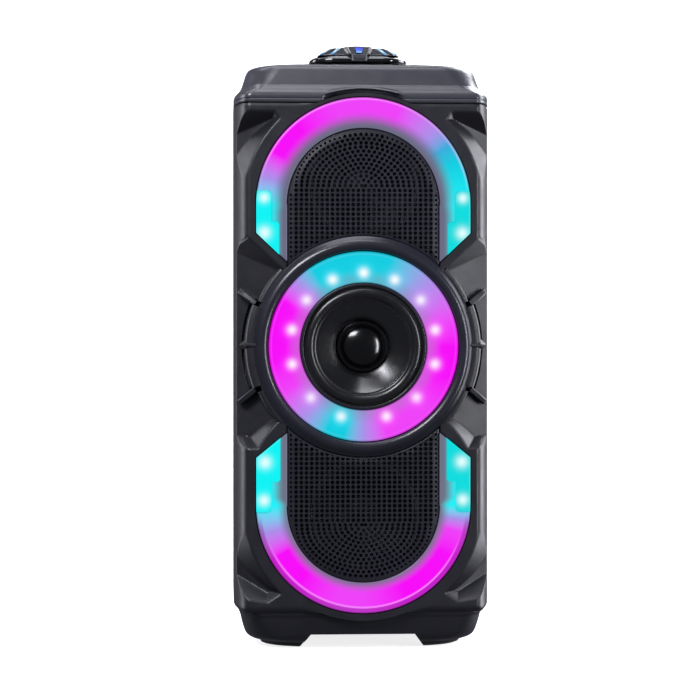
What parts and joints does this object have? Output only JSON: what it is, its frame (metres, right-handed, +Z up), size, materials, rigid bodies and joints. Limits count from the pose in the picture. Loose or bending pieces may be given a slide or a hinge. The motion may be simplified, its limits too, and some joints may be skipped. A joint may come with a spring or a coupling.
{
  "type": "party speaker",
  "caption": "Upright portable loudspeaker column with a lit ring round its middle driver, two lit grille windows, a raised control console on top and four moulded feet.",
  "frame": {"origin": "on the floor, under the middle of the object's box", "axes": "+Z up, -Y out of the front, +X to the right as seen from the front"},
  "size_m": [0.214, 0.204, 0.5106],
  "materials": {
    "satin_black": "satin moulded plastic, fine texture",
    "grille_plastic": "satin perforated plastic",
    "rubber": "matt rubber",
    "lit_lens": "milky diffuser, lit from behind in magenta and cyan",
    "blue_lens": "clear diffuser, lit blue",
    "gloss_black": "gloss",
    "board": "solder mask",
    "steel": "plated steel",
    "copper": "copper winding",
    "cloth": "resin-treated cloth",
    "battery": "shrink wrap"
  },
  "bodies": {
    "cabinet": {"front_shell": "satin_black", "rear_shell": "satin_black", "top_cap": "satin_black", "base_plinth": "satin_black", "ring_bezel": "satin_black", "driver_trim_ring": "satin_black", "console_neck": "satin_black", "console_crown": "satin_black", "battery_tray": "satin_black", "mic_jack": "satin_black", "aux_jack": "satin_black", "dc_inlet": "satin_black", "bass_port": "satin_black", "upper_grille": "grille_plastic", "lower_grille": "grille_plastic", "foot_pad_front_left": "rubber", "foot_pad_front_right": "rubber", "foot_pad_rear_left": "rubber", "foot_pad_rear_right": "rubber", "centre_surround": "rubber", "upper_woofer_surround": "rubber", "lower_woofer_surround": "rubber", "grip_cup": "rubber", "upper_light_lens": "lit_lens", "lower_light_lens": "lit_lens", "ring_light_lens": "lit_lens", "indicator_lens": "blue_lens", "light_strip_inner_left": "blue_lens", "light_strip_inner_right": "blue_lens", "light_strip_outer_left": "blue_lens", "light_strip_outer_right": "blue_lens", "console_collar": "gloss_black", "console_v_frame": "gloss_black", "input_panel": "gloss_black", "upper_led_board": "board", "lower_led_board": "board", "ring_led_board": "board", "main_board": "board", "centre_basket": "steel", "upper_woofer_basket": "steel", "lower_woofer_basket": "steel", "centre_magnet": "steel", "upper_woofer_magnet": "steel", "lower_woofer_magnet": "steel", "usb_port": "steel", "centre_spider": "cloth", "battery_pack": "battery"},
    "volume_knob": {"volume_knob": "gloss_black"},
    "power_rocker": {"power_rocker": "rubber"},
    "centre_cone": {"centre_cone": "gloss_black", "centre_dust_cap": "gloss_black", "centre_voice_coil": "copper"},
    "upper_woofer_cone": {"upper_woofer_cone": "satin_black"},
    "lower_woofer_cone": {"lower_woofer_cone": "satin_black"},
    "key_previous": {"key_previous": "rubber"},
    "key_play": {"key_play": "rubber"},
    "key_mode": {"key_mode": "rubber"},
    "key_next": {"key_next": "rubber"},
    "key_light": {"key_light": "rubber"}
  },
  "joints": [
    {"name": "volume_turn", "type": "hinge", "parent": "cabinet", "child": "volume_knob", "pos_m": [0, 0, 0.507], "axis": [0, 0, 1], "continuous": true},
    {"name": "power_rock", "type": "hinge", "parent": "cabinet", "child": "power_rocker", "pos_m": [-0.038, 0.097, 0.105], "axis": [1, 0, 0], "range_deg": [0, 14]},
    {"name": "key_previous_press", "type": "slide", "parent": "cabinet", "child": "key_previous", "axis": [0, 0, -1], "range_m": [0, 0.0009], "stiffness_N_per_m": 400, "springref_m": -0.0012},
    {"name": "key_play_press", "type": "slide", "parent": "cabinet", "child": "key_play", "axis": [0, 0, -1], "range_m": [0, 0.0009], "stiffness_N_per_m": 400, "springref_m": -0.0012},
    {"name": "key_mode_press", "type": "slide", "parent": "cabinet", "child": "key_mode", "axis": [0, 0, -1], "range_m": [0, 0.0009], "stiffness_N_per_m": 400, "springref_m": -0.0012},
    {"name": "key_next_press", "type": "slide", "parent": "cabinet", "child": "key_next", "axis": [0, 0, -1], "range_m": [0, 0.0009], "stiffness_N_per_m": 400, "springref_m": -0.0012},
    {"name": "key_light_press", "type": "slide", "parent": "cabinet", "child": "key_light", "axis": [0, 0, -1], "range_m": [0, 0.0009], "stiffness_N_per_m": 400, "springref_m": -0.0012},
    {"name": "centre_excursion", "type": "slide", "parent": "cabinet", "child": "centre_cone", "axis": [0, -1, 0], "range_m": [-0.0025, 0.0025], "stiffness_N_per_m": 1800, "deforming": ["centre_surround", "centre_spider"]},
    {"name": "upper_woofer_excursion", "type": "slide", "parent": "cabinet", "child": "upper_woofer_cone", "axis": [0, -1, 0], "range_m": [-0.0025, 0.0025], "stiffness_N_per_m": 1800, "deforming": ["upper_woofer_surround"]},
    {"name": "lower_woofer_excursion", "type": "slide", "parent": "cabinet", "child": "lower_woofer_cone", "axis": [0, -1, 0], "range_m": [-0.0025, 0.0025], "stiffness_N_per_m": 1800, "deforming": ["lower_woofer_surround"]}
  ]
}
